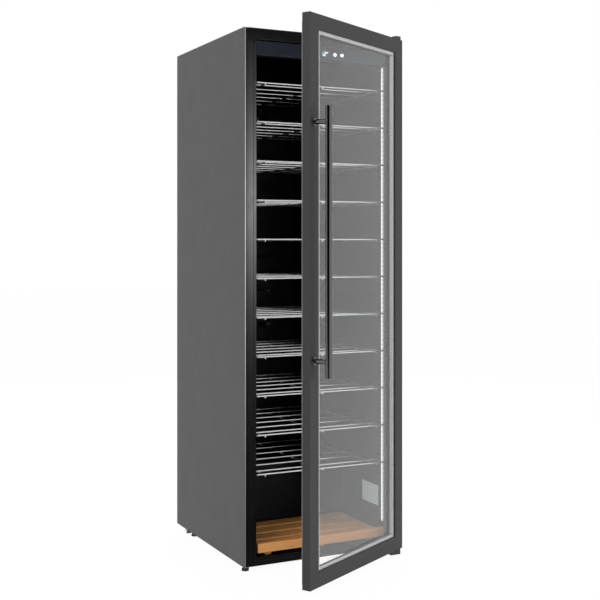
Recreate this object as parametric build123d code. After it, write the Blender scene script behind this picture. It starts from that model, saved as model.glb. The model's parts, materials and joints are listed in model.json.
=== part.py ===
from build123d import *

import os
from math import cos, pi

# Wine cooler with a glass door on its right-hand hinge, in millimetres.
# Origin on the floor under the middle of the cabinet: +X to the viewer's right, +Y to the back, +Z up.
# The door is stored part open, as it stands in use when bottles are shown.

# Cabinet
WIDTH = 595.0
DEPTH = 660.0
HEIGHT = 1820.0
FLOOR_GAP = 20.0
HALF = WIDTH / 2
FRONT = -DEPTH / 2
BACK = DEPTH / 2
BOTTOM = FLOOR_GAP
TOP = FLOOR_GAP + HEIGHT
SHEET = 1.0
BEND = 3.0
RETURN = 16.0
TRIM = 3.0
BASE_SHEET = 1.5
SKIN_FRONT = FRONT + TRIM
FOAM_FRONT = SKIN_FRONT + SHEET
BACK_SHEET = BACK - 2 * SHEET

# Cooled space
OPENING_HALF = 255.5
OPENING_LOW = 50.0
OPENING_HIGH = 1800.0
LIP = 2.0
LIP_DEPTH = 21.0
LINER = 2.5
LINER_HALF = OPENING_HALF + LIP
LINER_LOW = OPENING_LOW - LIP
LINER_HIGH = OPENING_HIGH + LIP
LINER_BACK = 270.0
STEP_FRONT = 20.0
STEP_TOP = 298.0
LINER_CORNER = 14.0
MOUTH_CORNER = 6.0
FRAME_SIDE_GAP = 4.0
FRAME_END_GAP = 3.0
GROOVE_INSET = 12.0
GROOVE = (2.0, 1.0)

# Machine bay under the step
BAY_FRONT = 60.0
BAY_TOP = 270.0
BAY_FLOOR = BOTTOM + BASE_SHEET

# Wire shelves
SHELF_COUNT = 11
SHELF_TOP_Z = 1657.0
SHELF_PITCH = 133.0
SHELF_HALF = 248.0
SHELF_FRONT = FRONT + 13.0
SHELF_BACK = 205.0
WIRE = 2.75
SECOND_WIRE = SHELF_FRONT + 54.0
CROSS_WIRES = 7
LONG_WIRE_X = 217.0
RAIL_FRONT = FRONT + 52.0
RAIL_BACK = SHELF_BACK + 10.0
RAIL_HEIGHT = 7.0
RAIL_INNER = SHELF_HALF - 10.0

# Bottom tray
TRAY_RAIL_DEPTH = 18.0
TRAY_RAIL_LOW = 62.0
TRAY_RAIL_HIGH = 93.0
TRAY_RAIL_HALF = 246.0
TRAY_ROUND = 4.0
BEARER_X = 200.0
BEARER_WIDTH = 24.0
SLAT_HALF = 242.0
SLAT_LOW = 70.0
SLAT_HIGH = 80.0
SLAT_WIDTH = 60.0
SLAT_PITCH = 76.0
SLAT_COUNT = 4

# Door
DOOR_HALF = 296.5
DOOR_LOW = BOTTOM + 2.0
DOOR_HIGH = TOP - 2.0
DOOR_FRONT = FRONT - 38.0
FRAME_WIDTH = 50.0
FRAME_DEPTH = 30.0
FRAME_LIP = 3.0
FRAME_WALL = 2.0
REBATE = 12.0
PANE = 4.0
PANE_GAP = 12.0
PANE_EDGE = FRAME_WIDTH - REBATE + 0.5
SPACER_EDGE = 45.0
SPACER_WIDTH = 17.0
DOOR_INNER = DOOR_FRONT + FRAME_DEPTH
COVER_FLANGE = 2.0
PIVOT_X = DOOR_HALF - 12.0
PIVOT_Y = FRONT - 20.0
REST_ANGLE = 29.0
PIN_RADIUS = 4.0
RUNNING = 0.05
BUSH_RADIUS = 7.0
BUSH_LENGTH = 20.0
KEY_REACH = 90.0
COVER_EDGE = 3.0
GASKET_WIDTH = 12.0
GASKET_INSETS = {"handle": 6.0, "hinge": 16.0, "low": 14.0, "high": 26.0}
GASKET_GAP = 0.3

# Handle
HANDLE_X = -DOOR_HALF + 24.0
HANDLE_RADIUS = 11.0
HANDLE_LOW = 690.0
HANDLE_HIGH = 1542.0
HANDLE_OFFSET = 55.0
POST_RADIUS = 8.0
SEAT = 9.0
FLANGE_RADIUS = 13.0
FLANGE_HEIGHT = 4.0
HANDLE_CHAMFER = 1.0
POST_HEIGHTS = (741.0, 1493.0)

# Feet and rollers
FOOT_STEM = 5.0
FOOT_TOP = BOTTOM + 14.0
FOOT_PAD = 14.0
PAD_HEIGHT = 8.0
WASHER_HEIGHT = 3.0
NUT_HEIGHT = 8.0
NUT_RADIUS = 10.0
FRONT_FOOT = (HALF - 19.5, FRONT + 42.0)
REAR_FOOT = (HALF - 22.5, BACK - 135.0)
ROLLER_X = HALF - 17.0
ROLLER_Y = BACK - 94.0
ROLLER_RADIUS = 12.0
ROLLER_WIDTH = 22.0
ROLLER_Z = ROLLER_RADIUS + 1.0
AXLE_RADIUS = 3.0
CHEEK = 2.0
CHEEK_HALF = 9.0
CHEEK_DROP = 6.0
CLEARANCE = 1.0
FACETS = 12

# Control strip
PANEL_LOW = 1749.0
PANEL_HIGH = 1797.0
PANEL_FACE = FRONT + 5.0
PANEL_DEPTH = 62.0
PANEL_WALL = 2.5
PANEL_RAKE = 0.55
WINDOW_THICK = 2.0
WINDOW = (-30.0, 95.0, 1756.0, 1786.0)
BOARD = (-45.0, 110.0, 1755.0, 1792.0)
BOARD_FACE = PANEL_FACE + 12.0
BOARD_THICK = 1.6
BOARD_POST = 3.0

# Lights
LIGHT_Y = FRONT + 32.0
LIGHT_WIDTH = 16.0
LIGHT_DEPTH = 5.0
LIGHT_DOME = 1.5
LIGHT_LOW = 110.0
LIGHT_HIGH = 1746.0

# Cooling
DUCT_HALF = 165.0
DUCT_FRONT = 228.0
DUCT_LOW = 345.0
DUCT_HIGH = 1700.0
DUCT_WALL = 2.5
DUCT_EDGE = 12.0
DUCT_SLOT = (60.0, 62.0, 70.0)
DUCT_FAN_Z = 1590.0
DUCT_FAN_RADIUS = 56.0
DUCT_SHAFT = 2.5
DUCT_SHAFT_LENGTH = 24.0
LOUVRE_PITCH = 14.0
LOUVRE_HALF = 4.0
FIN = 1.5
COIL_TUBE = 5.0
EVAPORATOR = (-140.0, 140.0, 242.0, LINER_BACK, 700.0, 1000.0)
CONDENSER = (50.0, 245.0, 105.0, 285.0, BAY_FLOOR, 215.0)
COMPRESSOR_X = -140.0
COMPRESSOR_Y = 190.0
COMPRESSOR_RADIUS = 80.0
SHELL_SIDES = 16
SHELL_BASE = 20.0
SHELL_DOME = 30.0
SHELL_TOP = 216.0
SEAM_Z = 96.0
SEAM_HEIGHT = 8.0
SEAM_LEDGE = 4.0
PLATE_Z = 36.0
PLATE_HALF_X = 110.0
PLATE_HALF_Y = 62.0
PLATE_THICK = 3.0
RELAY = (66.0, 106.0, -30.0, 30.0, 64.0, 120.0)
GROMMET_INSET = 14.5
GROMMET_RADIUS = 11.0
INLET_X = -230.0
INLET_Z = 52.0
INLET_BODY = (27.8, 19.8)
INLET_FLANGE = (44.0, 28.0)
INLET_SOCKET = (23.0, 15.0)
INLET_PIN = (2.0, 5.0)
INLET_PIN_PITCH = 7.0
INLET_DEPTH = 36.0
SOCKET_DEPTH = 16.0
VENT_COLUMNS = (-150.0, 0.0, 150.0)
VENT_ROWS = 6
VENT_LOW = 92.0
VENT_PITCH = 26.0
VENT_HALF = 58.0
VENT_HEIGHT = 9.0
COIL_FAN_X = 5.0
COIL_FAN_Y = 195.0
COIL_FAN_SIDE = 170.0
COIL_FAN_DEPTH = 28.0
COIL_FAN_RIM = 7.0
COIL_FAN_STRUT = 8.0
COIL_FAN_HUB = 30.0
COIL_FAN_SHAFT = 3.0

# Hinges
BRACKET = 4.0
BRACKET_PLATE = (205.0, 292.0, FRONT + 4.0, FRONT + 62.0)
COVER_HEIGHT = 11.0
COVER_MARGIN = 3.0
COVER_WALL = 2.0
ARM_HALF = 12.0
ARM_NOSE = 0.45
CLOSER = (-32.0, 9.5, -16.0, 12.0)
CLOSER_LOW = 2.0
CLOSER_CORNER = 3.0


def block(x0, x1, y0, y1, z0, z1):
    """A box between two corners."""
    return Pos((x0 + x1) / 2, (y0 + y1) / 2, (z0 + z1) / 2) * Box(x1 - x0, y1 - y0, z1 - z0)


def rod(start, axis, length, radius):
    """A round bar from a point along an axis."""
    return Solid.make_cylinder(radius, length, Plane(start, z_dir=axis))


def faceted_rod(start, axis, length, radius):
    """A bar of many flat sides from a point along an axis, radius measured to its corners."""
    return extrude(Plane(start, z_dir=axis) * RegularPolygon(radius, FACETS), amount=length)


def upright(outline, z0, z1):
    """An outline in plan, raised between two heights."""
    return extrude(Pos(0, 0, z0) * outline, amount=z1 - z0)


def facing(outline, y0, y1):
    """An outline seen from the front, carried back between two depths."""
    return extrude(Plane.XZ.offset(-y1) * outline, amount=y1 - y0)


def across(outline, half):
    """An outline seen from the side, carried equally to left and right."""
    return extrude(Plane.YZ * outline, amount=half, both=True)


def span(x0, x1, z0, z1, radius=0.0):
    """A rectangle between two corners, with optional round corners."""
    place = Pos((x0 + x1) / 2, (z0 + z1) / 2)
    if radius:
        return place * RectangleRounded(x1 - x0, z1 - z0, radius)
    return place * Rectangle(x1 - x0, z1 - z0)


def hex_wire(start, end, radius):
    """A straight wire of six-sided section with level flats, radius measured to the flats."""
    start = Vector(*start)
    run = Vector(*end) - start
    side = run.cross(Vector(0, 0, 1))
    section = RegularPolygon(radius, 6, major_radius=False)
    return extrude(Plane(start, x_dir=side, z_dir=run) * section, amount=run.length)


def prism(sides, radius, z0, z1):
    """An upright prism of regular section about the Z axis, radius measured to its corners."""
    return upright(RegularPolygon(radius, sides), z0, z1)


def bent_channel(length):
    """Section of a sheet with a return along both edges, opening towards +X."""
    outer = Rectangle(RETURN, length, align=(Align.MIN, Align.CENTER))
    outer = fillet(outer.vertices().group_by(Axis.X)[0], BEND)
    inner = Rectangle(RETURN, length - 2 * SHEET, align=(Align.MIN, Align.CENTER))
    inner = fillet(inner.vertices().group_by(Axis.X)[0], BEND - SHEET)
    return outer - Pos(SHEET, 0) * inner


def side_panel(side):
    """Outer side skin, folded in at the front and the back."""
    channel = bent_channel(BACK - SKIN_FRONT)
    if side > 0:
        channel = Rot(0, 0, 180) * channel
    return upright(Pos(side * HALF, (SKIN_FRONT + BACK) / 2) * channel, BOTTOM, TOP - SHEET)


def top_panel():
    """Top skin, folded down at the front and the back between the side skins."""
    channel = Rot(0, 0, -90) * bent_channel(BACK - SKIN_FRONT)
    lid = across(Pos((SKIN_FRONT + BACK) / 2, TOP) * channel, HALF - RETURN)
    for side in (-1, 1):
        ends = sorted((side * HALF, side * (HALF - RETURN)))
        lid += block(ends[0], ends[1], SKIN_FRONT + BEND, BACK - BEND, TOP - SHEET, TOP)
    return lid


def back_panel():
    """Rear skin above the machine bay, inside the bends of the other skins."""
    edge = HALF - BEND
    return block(-edge, edge, BACK_SHEET, BACK - SHEET, BAY_TOP, TOP - BEND)


def base_pan():
    """Floor plate with the folded wall and roof of the machine bay, weld nuts and roller slots."""
    front = SKIN_FRONT + BEND
    rear = BACK - BEND
    floor = Pos((front + rear) / 2, BOTTOM + BASE_SHEET / 2) * Rectangle(rear - front, BASE_SHEET)
    wall = Pos(BAY_FRONT + BASE_SHEET / 2, (BOTTOM + BAY_TOP) / 2) * Rectangle(BASE_SHEET, BAY_TOP - BOTTOM)
    roof_y = (BAY_FRONT + rear) / 2
    roof = Pos(roof_y, BAY_TOP - BASE_SHEET / 2) * Rectangle(rear - BAY_FRONT, BASE_SHEET)
    pan = across(floor + wall + roof, HALF - SHEET)
    for x, y in foot_places().values():
        pan += Pos(x, y) * prism(6, NUT_RADIUS, BAY_FLOOR, BAY_FLOOR + NUT_HEIGHT)
        pan -= Pos(x, y) * prism(FACETS, (FOOT_STEM + RUNNING) / cos(pi / FACETS), BOTTOM - 1, FOOT_TOP)
    slot_x = ROLLER_WIDTH / 2 + CLEARANCE
    slot_y = ROLLER_RADIUS + CLEARANCE
    for side in (-1, 1):
        x = side * ROLLER_X
        pan -= block(x - slot_x, x + slot_x, ROLLER_Y - slot_y, ROLLER_Y + slot_y, BOTTOM - 1, BAY_FLOOR + 1)
    return pan


def liner_block(grow, front):
    """The cooled space as a solid, grown outwards by a wall thickness."""
    low = LINER_LOW - grow
    high = LINER_HIGH + grow
    step_y = STEP_FRONT + grow
    step_z = STEP_TOP - grow
    rear = LINER_BACK + grow
    outline = Polyline(
        (front, low), (step_y, low), (step_y, step_z), (rear, step_z), (rear, high), (front, high), close=True
    )
    side = make_face(outline)
    corners = side.vertices().filter_by(lambda v: v.X > front + 1)
    inner_corner = corners.sort_by_distance((step_y, step_z))[0]
    outer_corners = [v for v in corners if v is not inner_corner]
    side = fillet(outer_corners, LINER_CORNER + grow)
    inner_corner = side.vertices().sort_by_distance((step_y, step_z))[0]
    side = fillet(inner_corner, LINER_CORNER - grow)
    return across(side, LINER_HALF + grow)


def inner_liner():
    """Formed inner wall with the step over the machine bay, open at the front."""
    return liner_block(LINER, FOAM_FRONT) - liner_block(0, FOAM_FRONT - 1)


def foam_insulation():
    """Insulation between the skins and the liner."""
    edge = HALF - SHEET
    foam = block(-edge, edge, FOAM_FRONT, BACK_SHEET, BAY_FLOOR, TOP - SHEET)
    bends = foam.edges().filter_by(Axis.Z) + foam.edges().filter_by(Axis.X).group_by(Axis.Z)[-1]
    foam = chamfer(bends, BEND - SHEET)
    foam -= block(-edge - 1, edge + 1, BAY_FRONT, BACK, BOTTOM, BAY_TOP)
    foam -= liner_block(LINER, FOAM_FRONT - 1)
    for x, y in foot_places().values():
        foam -= Pos(x, y) * prism(6, NUT_RADIUS + CLEARANCE, BOTTOM, FOOT_TOP + CLEARANCE)
    return foam


def front_frame():
    """Moulded trim round the mouth, with a lip that covers the liner's edge and a shadow groove."""
    mouth = span(-OPENING_HALF, OPENING_HALF, OPENING_LOW, OPENING_HIGH, MOUTH_CORNER)
    edge = HALF - FRAME_SIDE_GAP
    face = span(-edge, edge, BOTTOM + FRAME_END_GAP, TOP - FRAME_END_GAP) - mouth
    lip = span(-LINER_HALF, LINER_HALF, LINER_LOW, LINER_HIGH) - mouth
    width, depth = GROOVE
    groove = mouth_rectangle(GROOVE_INSET) - mouth_rectangle(GROOVE_INSET - width)
    frame = facing(face, FRONT, SKIN_FRONT) + facing(lip, SKIN_FRONT, SKIN_FRONT + LIP_DEPTH)
    return frame - facing(groove, FRONT, FRONT + depth)


def mouth_rectangle(grow):
    """The cabinet's mouth in the front view, grown outwards on every side."""
    half = OPENING_HALF + grow
    return span(-half, half, OPENING_LOW - grow, OPENING_HIGH + grow)


def control_panel():
    """Housing of the control strip under the ceiling, with a raked back and a cut-out for the window."""
    wall = PANEL_WALL
    half = OPENING_HALF - PANEL_WALL
    face = PANEL_FACE
    foot = PANEL_DEPTH * PANEL_RAKE
    outline = Polyline(
        (face, PANEL_LOW),
        (face, PANEL_HIGH),
        (face + PANEL_DEPTH, PANEL_HIGH),
        (face + foot, PANEL_LOW),
        close=True,
    )
    inside = Polyline(
        (face + wall, PANEL_LOW + wall),
        (face + wall, PANEL_HIGH + 1),
        (face + PANEL_DEPTH - 2 * wall, PANEL_HIGH + 1),
        (face + foot - wall, PANEL_LOW + wall),
        close=True,
    )
    shell = across(make_face(outline), half) - across(make_face(inside), half - wall)
    return shell - facing(span(*WINDOW), face - 1, face + wall + 1)


def display_window():
    """Clear window over the digits and the two touch keys."""
    return facing(span(*WINDOW), PANEL_FACE, PANEL_FACE + WINDOW_THICK)


def control_board():
    """Circuit board behind the window, on four posts of the housing."""
    x0, x1, z0, z1 = BOARD
    post = BOARD_POST
    board = facing(span(*BOARD), BOARD_FACE, BOARD_FACE + BOARD_THICK)
    for x in (x0 + 2 * post, x1 - 2 * post):
        for z in (z0 + post, z1 - post):
            board += block(x - post, x + post, PANEL_FACE + PANEL_WALL, BOARD_FACE, z - post, z + post)
    return board


def led_strips():
    """A light strip up each side wall, just behind the mouth."""
    dome_width = LIGHT_WIDTH - 2 * LIGHT_DOME
    strips = []
    for side in (-1, 1):
        channel = Rectangle(LIGHT_DEPTH, LIGHT_WIDTH, align=(Align.MAX, Align.CENTER))
        dome = Pos(-LIGHT_DEPTH, 0) * Rectangle(LIGHT_DOME, dome_width, align=(Align.MAX, Align.CENTER))
        section = channel + dome
        if side < 0:
            section = Rot(0, 0, 180) * section
        strips.append(upright(Pos(side * LINER_HALF, LIGHT_Y) * section, LIGHT_LOW, LIGHT_HIGH))
    return strips


def shelf_heights():
    """Heights of the shelf frames from the top shelf down."""
    return [SHELF_TOP_Z - SHELF_PITCH * k for k in range(SHELF_COUNT)]


def shelf_rails():
    """Ribs on both side walls that carry the shelves."""
    rails = []
    for z in shelf_heights():
        top = z - WIRE
        for side in (-1, 1):
            wall = side * LINER_HALF
            nose = side * RAIL_INNER
            nose_low = top - RAIL_HEIGHT / 2
            root_low = top - 2 * RAIL_HEIGHT
            outline = Polyline((wall, top), (nose, top), (nose, nose_low), (wall, root_low), close=True)
            rails.append(facing(make_face(outline), RAIL_FRONT, RAIL_BACK))
    return rails


def wire_shelf(z):
    """Welded wire shelf: cross wires that cradle the bottles, laid on three long wires."""
    low = z - 2 * WIRE
    shelf = None
    for x in (-LONG_WIRE_X, 0, LONG_WIRE_X):
        long_wire = hex_wire((x, SHELF_FRONT - WIRE, low), (x, SHELF_BACK + WIRE, low), WIRE)
        shelf = long_wire if shelf is None else shelf + long_wire
    pitch = (SHELF_BACK - SECOND_WIRE) / (CROSS_WIRES - 2)
    for y in [SHELF_FRONT] + [SECOND_WIRE + pitch * k for k in range(CROSS_WIRES - 1)]:
        shelf += hex_wire((-SHELF_HALF, y, z), (SHELF_HALF, y, z), WIRE)
    return shelf


def tray_front_rail():
    """Beech rail across the front of the bottom tray, with a rounded top edge."""
    middle = (SHELF_FRONT + TRAY_ROUND, (TRAY_RAIL_LOW + TRAY_RAIL_HIGH) / 2)
    profile = Pos(*middle) * Rectangle(TRAY_RAIL_DEPTH, TRAY_RAIL_HIGH - TRAY_RAIL_LOW)
    profile = fillet(profile.vertices().group_by(Axis.Y)[-1], TRAY_ROUND)
    return across(profile, TRAY_RAIL_HALF)


def tray_deck():
    """Beech slats on three bearers that stand on the liner floor."""
    front = SHELF_FRONT + TRAY_ROUND + TRAY_RAIL_DEPTH / 2
    gap = (SLAT_PITCH - SLAT_WIDTH) / 2
    rear = front + SLAT_COUNT * SLAT_PITCH
    half = BEARER_WIDTH / 2
    pieces = [block(x - half, x + half, front, rear, LINER_LOW, SLAT_LOW) for x in (-BEARER_X, 0, BEARER_X)]
    for k in range(SLAT_COUNT):
        y = front + gap + SLAT_PITCH * k
        pieces.append(block(-SLAT_HALF, SLAT_HALF, y, y + SLAT_WIDTH, SLAT_LOW, SLAT_HIGH))
    return pieces


def duct_cover():
    """Air duct cover on the back wall, with outlet slots, fan louvres near the top and a fan shaft."""
    cover = block(-DUCT_HALF, DUCT_HALF, DUCT_FRONT, LINER_BACK, DUCT_LOW, DUCT_HIGH)
    front_edges = cover.edges().filter_by(Axis.Z).group_by(Axis.Y)[0]
    cover = chamfer(front_edges, DUCT_EDGE)
    low = DUCT_LOW + DUCT_WALL
    high = DUCT_HIGH - DUCT_WALL
    edge = DUCT_HALF - DUCT_WALL
    cover -= block(-edge, edge, DUCT_FRONT + DUCT_EDGE, LINER_BACK + 1, low, high)
    edge -= DUCT_EDGE
    inside = DUCT_FRONT + DUCT_WALL
    cover -= block(-edge, edge, inside, LINER_BACK, low, high)
    cover -= facing(duct_slots(), DUCT_FRONT - 1, inside + 1)
    return cover + faceted_rod((0, inside, DUCT_FAN_Z), (0, 1, 0), DUCT_SHAFT_LENGTH, DUCT_SHAFT)


def duct_slots():
    """Outlet slots and fan louvres of the duct cover in the front view."""
    half, low, high = DUCT_SLOT
    slots = Sketch()
    for z in shelf_heights()[1:]:
        slots += span(-half, half, z + low, z + high)
    for k in (-3, -2, -1, 1, 2, 3):
        rise = LOUVRE_PITCH * k
        reach = (DUCT_FAN_RADIUS**2 - rise**2) ** 0.5
        z = DUCT_FAN_Z + rise
        slots += span(-reach, reach, z - LOUVRE_HALF, z + LOUVRE_HALF)
    return slots


def fan_rotor(tip, hub, depth, count, bore):
    """Axial fan rotor about Z: hub, pitched blades and a bore."""
    pitch = 35
    blade_thickness = 2
    chord = 4 / 3 * depth
    rotor = prism(2 * count, hub, -depth / 2, depth / 2)
    blade = Pos((hub + tip) / 2 - 2, 0, 0) * Rot(pitch, 0, 0) * Box(tip - hub, chord, blade_thickness)
    for k in range(count):
        rotor += Rot(0, 0, 360 * k / count) * blade
    slab = Box(3 * tip, 3 * tip, depth)
    return (rotor & slab) - Cylinder(bore, depth + 2)


def circulation_fan_rotor():
    """Fan that moves the cold air behind the duct cover."""
    rotor = fan_rotor(tip=DUCT_FAN_RADIUS - 4, hub=18, depth=16, count=6, bore=DUCT_SHAFT + RUNNING)
    return Pos(0, DUCT_FRONT + 14, DUCT_FAN_Z) * Rot(90, 0, 0) * rotor


def finned_coil(x0, x1, y0, y1, z0, z1, fins, tubes):
    """Plate fins on straight tubes along X."""
    pitch = (x1 - x0) / fins
    coil = None
    for k in range(tubes):
        z = z0 + (z1 - z0) * (k + 0.5) / tubes
        y = (y0 + y1) / 2
        tube = hex_wire((x0, y, z), (x1, y, z), COIL_TUBE)
        coil = tube if coil is None else coil + tube
    for k in range(fins):
        x = x0 + pitch * (k + 0.5)
        coil += block(x - FIN / 2, x + FIN / 2, y0, y1, z0, z1)
    return coil


def evaporator():
    """Cold coil behind the duct cover."""
    return finned_coil(*EVAPORATOR, fins=5, tubes=2)


def condenser():
    """Warm coil in the machine bay, standing on the base plate."""
    return finned_coil(*CONDENSER, fins=6, tubes=2)


def compressor():
    """Sealed compressor: two pressed shells on a weld seam, with a foot plate and relay cover."""
    seam_low = PLATE_Z + SEAM_Z
    seam_high = seam_low + SEAM_HEIGHT
    lower = prism(SHELL_SIDES, COMPRESSOR_RADIUS - SEAM_LEDGE, PLATE_Z, seam_low)
    lower = chamfer(lower.edges().group_by(Axis.Z)[0], SHELL_BASE)
    upper = prism(SHELL_SIDES, COMPRESSOR_RADIUS - 2 * SEAM_LEDGE, seam_high, SHELL_TOP)
    upper = chamfer(upper.edges().group_by(Axis.Z)[-1], SHELL_DOME)
    shell = block(-PLATE_HALF_X, PLATE_HALF_X, -PLATE_HALF_Y, PLATE_HALF_Y, PLATE_Z, PLATE_Z + PLATE_THICK)
    shell += lower + prism(SHELL_SIDES, COMPRESSOR_RADIUS, seam_low, seam_high) + upper
    shell += block(*RELAY)
    return Pos(COMPRESSOR_X, COMPRESSOR_Y, 0) * shell


def compressor_grommets():
    """Rubber mounts under the corners of the compressor's foot plate."""
    reach_x = PLATE_HALF_X - GROMMET_INSET
    reach_y = PLATE_HALF_Y - GROMMET_INSET
    mount = Pos(COMPRESSOR_X, COMPRESSOR_Y) * prism(8, GROMMET_RADIUS, BAY_FLOOR, PLATE_Z)
    return [Pos(x, y) * mount for x in (-reach_x, reach_x) for y in (-reach_y, reach_y)]


def condenser_fan_housing():
    """Square fan frame on the base plate, with struts and a fixed shaft."""
    half = COIL_FAN_SIDE / 2
    hole = half - COIL_FAN_RIM
    reach = 2 * hole + COIL_FAN_STRUT / 2
    struts = Rectangle(COIL_FAN_HUB, COIL_FAN_HUB)
    struts += Rectangle(reach, COIL_FAN_STRUT) + Rectangle(COIL_FAN_STRUT, reach)
    ring = Rectangle(COIL_FAN_SIDE, COIL_FAN_SIDE) - RegularPolygon(hole, 2 * FACETS)
    frame = extrude(ring, amount=COIL_FAN_DEPTH) + extrude(struts, amount=COIL_FAN_STRUT / 2)
    frame += prism(FACETS, COIL_FAN_SHAFT, 0, COIL_FAN_DEPTH - 2 * COIL_FAN_SHAFT)
    return Plane((COIL_FAN_X, COIL_FAN_Y, BAY_FLOOR + half), x_dir=(0, 1, 0), z_dir=(1, 0, 0)) * frame


def condenser_fan_rotor():
    """Fan that draws air through the warm coil."""
    half = COIL_FAN_SIDE / 2
    tip = half - COIL_FAN_RIM - 4
    rotor = fan_rotor(tip=tip, hub=22, depth=16, count=5, bore=COIL_FAN_SHAFT + RUNNING)
    return Pos(COIL_FAN_X + COIL_FAN_DEPTH / 2, COIL_FAN_Y, BAY_FLOOR + half) * Rot(0, 90, 0) * rotor


def rear_vent_cover():
    """Slotted cover over the machine bay, with a cut-out for the mains inlet."""
    edge = HALF - BEND
    sheet = span(-edge, edge, BAY_FLOOR, BAY_TOP)
    for x in VENT_COLUMNS:
        for k in range(VENT_ROWS):
            z = VENT_LOW + VENT_PITCH * k
            sheet -= span(x - VENT_HALF, x + VENT_HALF, z, z + VENT_HEIGHT)
    width, height = INLET_BODY
    sheet -= inlet_outline(width + 4 * RUNNING, height + 4 * RUNNING)
    return facing(sheet, BACK_SHEET, BACK - SHEET)


def inlet_outline(width, height):
    """A rectangle round the mains inlet's centre in the front view."""
    return Pos(INLET_X, INLET_Z) * Rectangle(width, height)


def mains_inlet():
    """Mains inlet with a flange outside the cover, a socket recess and three pins."""
    bottom = BACK - SOCKET_DEPTH
    body = facing(inlet_outline(*INLET_BODY), BACK - INLET_DEPTH, BACK - SHEET)
    body += facing(inlet_outline(*INLET_FLANGE), BACK - SHEET, BACK + 2 * SHEET)
    body -= facing(inlet_outline(*INLET_SOCKET), bottom, BACK + 3 * SHEET)
    for k in (-1, 0, 1):
        body += facing(Pos(INLET_PIN_PITCH * k, 0) * inlet_outline(*INLET_PIN), bottom, BACK - SHEET)
    return body


def hinge_outline(margin):
    """Plan of a hinge bracket: a plate on the cabinet and an arm that narrows to the pivot."""
    x0, x1, y0, y1 = BRACKET_PLATE
    end = ARM_HALF + margin
    nose = end * ARM_NOSE
    return make_face(
        Polyline(
            (x0 - margin, y0 - margin),
            (PIVOT_X - end, y0 - margin),
            (PIVOT_X - end, PIVOT_Y - nose),
            (PIVOT_X - nose, PIVOT_Y - end),
            (PIVOT_X + nose, PIVOT_Y - end),
            (PIVOT_X + end, PIVOT_Y - nose),
            (PIVOT_X + end, y1 + margin),
            (x0 - margin, y1 + margin),
            close=True,
        )
    )


def top_hinge_bracket():
    """Bracket on the top skin, with the pin that hangs into the door."""
    plate = upright(hinge_outline(0), TOP, TOP + BRACKET)
    pin_length = TOP - DOOR_HIGH + BUSH_LENGTH - COVER_MARGIN
    return plate + rod((PIVOT_X, PIVOT_Y, TOP - pin_length), (0, 0, 1), pin_length + BRACKET, PIN_RADIUS)


def top_hinge_cover():
    """Moulded cap over the top bracket."""
    cap = upright(hinge_outline(COVER_MARGIN), TOP, TOP + COVER_HEIGHT)
    return cap - upright(hinge_outline(COVER_MARGIN - COVER_WALL), TOP - 1, TOP + COVER_HEIGHT - COVER_WALL)


def bottom_hinge_bracket():
    """Bracket under the base plate, with the pin that carries the door, its closer and a hole for the foot."""
    plate = upright(hinge_outline(0), BOTTOM - BRACKET, BOTTOM)
    housing = Pos(PIVOT_X, PIVOT_Y) * span(*CLOSER)
    plate += upright(chamfer(housing.vertices(), CLOSER_CORNER), CLOSER_LOW, BOTTOM)
    plate -= Pos(*FRONT_FOOT) * prism(FACETS, FOOT_STEM + 2 * CLEARANCE, BOTTOM - 2 * BRACKET, BOTTOM + 1)
    return plate + rod((PIVOT_X, PIVOT_Y, BOTTOM - BRACKET), (0, 0, 1), BRACKET + BUSH_LENGTH, PIN_RADIUS)


def foot_places():
    """Plan position of each levelling foot."""
    front_x, front_y = FRONT_FOOT
    rear_x, rear_y = REAR_FOOT
    return {
        "foot_front_left": (-front_x, front_y),
        "foot_front_right": (front_x, front_y),
        "foot_rear_left": (-rear_x, rear_y),
        "foot_rear_right": (rear_x, rear_y),
    }


def levelling_foot(x, y):
    """Screw foot: a six-sided pad that a spanner turns, a washer face and a stem."""
    washer_top = PAD_HEIGHT + WASHER_HEIGHT
    foot = prism(6, FOOT_PAD, 0, PAD_HEIGHT)
    foot += prism(FACETS, FOOT_STEM + WASHER_HEIGHT, PAD_HEIGHT, washer_top)
    foot += prism(FACETS, FOOT_STEM, washer_top, FOOT_TOP)
    return Pos(x, y, 0) * foot


def roller(side):
    """Transport roller."""
    half = ROLLER_WIDTH / 2
    wheel = prism(2 * FACETS, ROLLER_RADIUS, -half, half) - Cylinder(AXLE_RADIUS + RUNNING, 2 * ROLLER_WIDTH)
    return Pos(side * ROLLER_X, ROLLER_Y, ROLLER_Z) * Rot(0, 90, 0) * wheel


def roller_brackets():
    """Two cheeks and a riveted axle for each roller, under the base plate."""
    brackets = []
    inner = (ROLLER_WIDTH + CLEARANCE) / 2
    axle = inner + CHEEK / 2
    for side in (-1, 1):
        x = side * ROLLER_X
        bracket = faceted_rod((x - axle, ROLLER_Y, ROLLER_Z), (1, 0, 0), 2 * axle, AXLE_RADIUS)
        for cheek in (-1, 1):
            ends = sorted((x + cheek * inner, x + cheek * (inner + CHEEK)))
            low = ROLLER_Z - CHEEK_DROP
            bracket += block(*ends, ROLLER_Y - CHEEK_HALF, ROLLER_Y + CHEEK_HALF, low, BOTTOM)
        brackets.append(bracket)
    return brackets


def frame_section():
    """Section of the door frame: hollow box with a front lip over the glass."""
    web = FRAME_WIDTH - REBATE
    box = Pos(web / 2, FRAME_DEPTH / 2) * Rectangle(web, FRAME_DEPTH)
    lip = Pos(FRAME_WIDTH / 2, FRAME_LIP / 2) * Rectangle(FRAME_WIDTH, FRAME_LIP)
    chamber_width = web - 2 * FRAME_WALL
    chamber_depth = FRAME_DEPTH - 2 * FRAME_WALL
    return box + lip - Pos(web / 2, FRAME_DEPTH / 2) * Rectangle(chamber_width, chamber_depth)


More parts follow.
